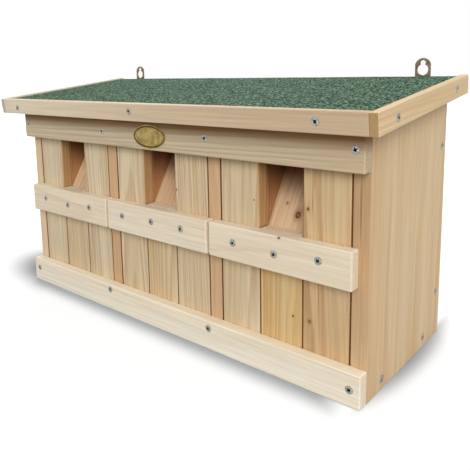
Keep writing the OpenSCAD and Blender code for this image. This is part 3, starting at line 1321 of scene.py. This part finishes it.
@dataclass
class Studio:
    """Camera, soft light, white floor and white surroundings.

    The focal length and the middle of view are in pixels of a square picture. The room's light is an even
    share, with more from overhead and from the right.
    """

    picture: int = 470
    place: Vector = field(default_factory=lambda: Vector((0.43989, -0.49031, 0.29179)))
    yaw: float = math.radians(41.0663)
    pitch: float = math.radians(-8.9033)
    roll: float = math.radians(-1.2496)
    focal: float = 550.673
    middle: Span = (209.957, 155.907)
    lamps: tuple[Lamp, ...] = (KEY, FILL)
    lamp_aim: Triple = (0.0, 0.0, 0.14)
    even_light: float = 0.18
    overhead_light: float = 0.62
    right_light: float = 0.32
    shades: tuple[SoftShade, ...] = (LEFT_SHADE, RIGHT_SHADE)
    contact_reach: float = 0.034
    contact_shadow_tone: Colour = (0.38, 0.39, 0.40)
    contact_end: Span = (0.205, 0.245)
    floor_half: float = 6.0
    floor_tone: Colour = (0.42, 0.43, 0.44)
    floor_bounce: Colour = (0.34, 0.34, 0.34)
    glow_reach: Span = (0.30, 1.10)
    glow: Span = (0.64, 0.90)

    def build(self) -> None:
        """Set up the camera, the surroundings, the floor and the lamps."""
        self._camera()
        self._world()
        self._floor()
        for lamp in self.lamps:
            lamp.hang(Vector(self.lamp_aim))
        bpy.context.scene.view_settings.view_transform = "Standard"

    def _camera(self) -> None:
        """Place the camera at the photograph's viewpoint."""
        level = math.cos(self.pitch)
        forward = Vector((-math.sin(self.yaw) * level, math.cos(self.yaw) * level, math.sin(self.pitch)))
        right = Vector((math.cos(self.yaw), math.sin(self.yaw), 0.0))
        up = right.cross(forward)
        across = math.cos(self.roll) * right + math.sin(self.roll) * up
        above = math.cos(self.roll) * up - math.sin(self.roll) * right
        turned = Matrix((across, above, -forward)).transposed().to_4x4()
        lens = bpy.data.cameras.new("view")
        lens.sensor_width = 36.0
        lens.sensor_fit = "HORIZONTAL"
        lens.lens = self.focal / self.picture * lens.sensor_width
        lens.shift_x = 0.5 - self.middle[0] / self.picture
        lens.shift_y = self.middle[1] / self.picture - 0.5
        lens.clip_start, lens.clip_end = 0.01, 50.0
        camera = bpy.data.objects.new("view", lens)
        camera.matrix_world = Matrix.Translation(self.place) @ turned
        bpy.context.scene.collection.objects.link(camera)
        bpy.context.scene.camera = camera

    @staticmethod
    def _seen(tree: Tree) -> Socket:
        """Tell the rays that show a surface from those that carry its light.

        Args:
            tree: Node tree to add to.

        Returns:
            1 for rays from the camera, a mirror or a glass, and 0 for the others.
        """
        path = tree.node("ShaderNodeLightPath").outputs
        seen = tree.calc("MAXIMUM", path["Is Camera Ray"], path["Is Glossy Ray"])
        return tree.calc("MAXIMUM", seen, path["Is Transmission Ray"])

    def _world(self) -> None:
        """Make white surroundings that give a soft light."""
        world = bpy.data.worlds.new("white_room")
        world.use_nodes = True
        bpy.context.scene.world = world
        tree = Tree(world.node_tree)
        aim = tree.node("ShaderNodeTexCoord").outputs["Generated"]
        strength: Value = self.even_light
        for axis, share in (("Z", self.overhead_light), ("X", self.right_light)):
            towards = tree.calc("MAXIMUM", tree.part(aim, axis), 0.0)
            strength = tree.calc("MULTIPLY_ADD", towards, share, strength)
        light = tree.shader("ShaderNodeBackground", Color=WHITE, Strength=strength)
        shown = tree.shader("ShaderNodeBackground", Color=WHITE, Strength=1.0)
        tree.surface(tree.either(self._seen(tree), light, shown), "ShaderNodeOutputWorld")

    def _floor(self) -> None:
        """Lay a white floor that keeps the lamps' shadow, with contact shade and two soft oval shadows
        painted into its colour, and that throws back little light.
        """
        made, tree = new_material("white_floor")
        place = tree.node("ShaderNodeTexCoord").outputs["Object"]
        near = tree.node("ShaderNodeAmbientOcclusion", samples=16)
        tree.put(near.inputs["Distance"], self.contact_reach)
        clear = tree.calc("MAXIMUM", tree.remap(near.outputs["AO"], 0.5, 1.0),
                          tree.remap(tree.part(place, "X"), *self.contact_end))
        # Painted shadow: the floor's colour, which its glow also takes, darkens near the box by occlusion and
        # in two soft ovals.
        white = tree.mix(clear, self.contact_shadow_tone, WHITE)
        for shade in self.shades:
            white = tree.mix(1.0, white, shade.share(tree, place), "DARKEN")
        lit = tree.shader("ShaderNodeBsdfDiffuse", Color=tree.mix(1.0, white, self.floor_tone, "MULTIPLY"))
        glow = tree.remap(tree.vec("LENGTH", place), *self.glow_reach, *self.glow)
        bright = tree.node("ShaderNodeAddShader")
        tree.put(bright.inputs[0], lit)
        tree.put(bright.inputs[1], tree.shader("ShaderNodeEmission", Color=white, Strength=glow))
        bounce = tree.shader("ShaderNodeBsdfDiffuse", Color=self.floor_bounce)
        tree.surface(tree.either(self._seen(tree), bounce, bright.outputs[0]))
        mesh = bmesh.new()
        bmesh.ops.create_grid(mesh, x_segments=1, y_segments=1, size=self.floor_half)
        data = bpy.data.meshes.new("floor")
        mesh.to_mesh(data)
        mesh.free()
        data.materials.append(made)
        floor = bpy.data.objects.new("floor", data)
        bpy.context.scene.collection.objects.link(floor)


def panels() -> list[FrontPanel]:
    """Choose each front board's own tone, saw cut and knots.

    Returns:
        The left, middle and right panel.
    """
    left = FrontPanel(
        "left",
        (replace(BOARD, shift=0.1, pith=(55, 30)),
         replace(PALE_BOARD, shift=0.5, pith=(-60, 22)),
         replace(BOARD, shift=0.9, pith=(-30, 55))),
        replace(RAIL, shift=3.1, pith=(30, 40)),
        replace(INNER, shift=0.2, pith=(30, 34)),
    )
    middle = FrontPanel(
        "middle",
        (replace(BOARD, shift=1.4, pith=(12, 48)),
         replace(TAN_BOARD, shift=1.9, pith=(48, 26)),
         replace(BOARD, shift=2.3, pith=(-52, 30), knots=(Knot((26.2, -72.2, 163.6), 1.1, 0.8, 0.2),))),
        replace(RAIL, shift=4.0, pith=(-26, 46)),
        replace(INNER, shift=0.8, pith=(-36, 40)),
    )
    ruddy_knots = (Knot((190.5, -72.2, 166.7), 1.4, 0.95, 0.3), Knot((192.8, -72.2, 60.5), 1.6, 0.7, 0.5))
    rail_nicks = (Knot((167.8, -85.2, 138.9), 1.2, 0.95, 0.15), Knot((226.0, -74.0, 140.1), 0.9, 0.9, 0.15))
    guard_knots = (Knot((167.2, -51.4, 153.0), 3.0, 0.85, 0.55), Knot((152.1, -46.3, 161.5), 1.1, 0.75))
    right = FrontPanel(
        "right",
        (replace(BOARD, shift=2.8, pith=(60, 28), knots=(Knot((130.7, -72.2, 166.6), 0.8, 0.8, 0.2),)),
         replace(GOLD_BOARD, shift=3.3, pith=(72, 14), knots=(Knot((175.0, -72.2, 60.7), 1.1, 0.9, 0.3),)),
         replace(RUDDY_BOARD, shift=3.8, pith=(-26, 38), knots=ruddy_knots)),
        replace(RAIL, shift=5.0, pith=(38, 36), knots=rail_nicks),
        replace(INNER, shift=1.5, pith=(28, 46), knots=guard_knots),
    )
    return [left, middle, right]


@dataclass
class ScrewPlan:
    """Places of the screws in mm, each screw turned as it happened to stop.

    Places on a rail are X and Z, places on the roof's trim are X or a distance up the slope, then a height in
    the sloping frame, places on a side wall are Y and Z, and a hanger's screws have a Z.
    """

    turns: tuple[int, ...] = (12, 40, 71, 25, 58, 5, 83, 33, 64, 18, 49, 77, 8, 36, 60, 22, 69, 44)
    top_rail: tuple[Span, ...] = ((-240.3, 223.6), (-81.8, 222.9), (79.9, 224.8), (241.5, 225.8))
    bottom_rail: tuple[Span, ...] = ((-238.5, 19.2), (-81.2, 26.0), (79.3, 23.9), (239.7, 16.6))
    front_trim: tuple[Span, ...] = ((-230.4, 6.0), (-7.3, 9.0), (216.8, 8.0))
    side_trim: tuple[Span, ...] = ((2.4, 6.4), (144.4, 7.6))
    side_wall: tuple[Span, ...] = ((95.5, 208.7), (93.5, 49.6), (59.8, 10.8), (-41.2, 10.4))
    hanger: Span = (254.0, 242.0)
    left_rail: tuple[Span, ...] = ((-211.2, 123.5), (-160.7, 121.4), (-115.8, 124.8))
    middle_rail: tuple[Span, ...] = ((-52.2, 124.1), (-2.8, 125.4), (42.8, 125.2))
    right_rail: tuple[Span, ...] = ((113.7, 123.5), (162.0, 122.0), (208.4, 125.8))

    def sets(self) -> list[Screws]:
        """Set out the screws of each body.

        Returns:
            The box's screws, then each panel's.
        """
        turns = iter(math.radians(a) for a in self.turns * 4)
        front, back = Vector((0, -1, 0)), Vector((0, 1, 0))

        def on_rail(x: float, z: float) -> Screw:
            """Put a screw on a rail's face."""
            return Screw(Vector((x * MM, SIZES.rail_face, z * MM)), front, next(turns))

        def on_trim(x: float, v: float, w: float, out: Vector) -> Screw:
            """Put a screw in the roof's sloping frame."""
            place = SIZES.slope @ Vector((x * MM, v * MM, w * MM))
            return Screw(place, SIZES.slope.to_3x3() @ out, next(turns))

        box = [on_rail(x, z) for x, z in self.top_rail + self.bottom_rail]
        box += [on_trim(x, -SIZES.front_overhang / MM, w, front) for x, w in self.front_trim]
        wall = SIZES.body_w / 2
        reach = (wall + SIZES.side_overhang) / MM
        hanger_y = SIZES.back_face + SIZES.hanger_t
        for side in (1, -1):
            out = Vector((side, 0, 0))
            box += [on_trim(side * reach, v, w, out) for v, w in self.side_trim]
            box += [Screw(Vector((side * wall, y * MM, z * MM)), out, next(turns)) for y, z in self.side_wall]
            box += [Screw(Vector((side * SIZES.hanger_x, hanger_y, z * MM)), back, next(turns))
                    for z in self.hanger]
        sets = [Screws("box", box)]
        rails = {"left": self.left_rail, "middle": self.middle_rail, "right": self.right_rail}
        sets += [Screws(f"{side}_panel", [on_rail(x, z) for x, z in rail]) for side, rail in rails.items()]
        return sets


def main() -> None:
    """Build the box piece by piece, then the studio."""
    logging.basicConfig(level=logging.INFO, format="%(name)s: %(message)s")
    Carcass().build()
    for panel in panels():
        panel.build()
    Roof().build()
    Hangers().build()
    BlankPlate().build()
    for screws in ScrewPlan().sets():
        screws.build()
    Studio().build()
    bpy.context.view_layer.update()


if __name__ == "__main__":
    main()
